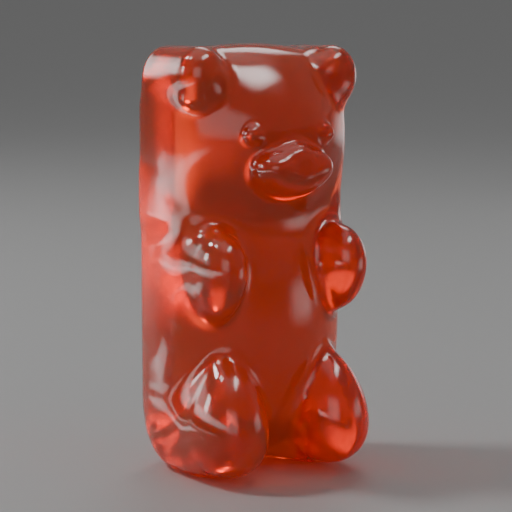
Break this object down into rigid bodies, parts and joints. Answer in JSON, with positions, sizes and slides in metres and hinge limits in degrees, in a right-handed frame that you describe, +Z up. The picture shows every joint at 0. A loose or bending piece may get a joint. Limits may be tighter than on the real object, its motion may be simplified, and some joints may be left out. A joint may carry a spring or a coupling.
{
  "type": "gummy bear",
  "caption": "Soft clear jelly sweet moulded as a standing bear with round ears, muzzle, belly, arms and legs, and a flat back.",
  "frame": {"origin": "centre of the bounding box at ground level, under the body between the feet", "axes": "-Y is the bear's front, +X its left side, +Z up through the head"},
  "size_m": [0.0106, 0.009, 0.0219],
  "materials": {
    "jelly": "glossy clear red-orange jelly"
  },
  "bodies": {
    "root": {"gummy_bear": "jelly"}
  },
  "joints": []
}
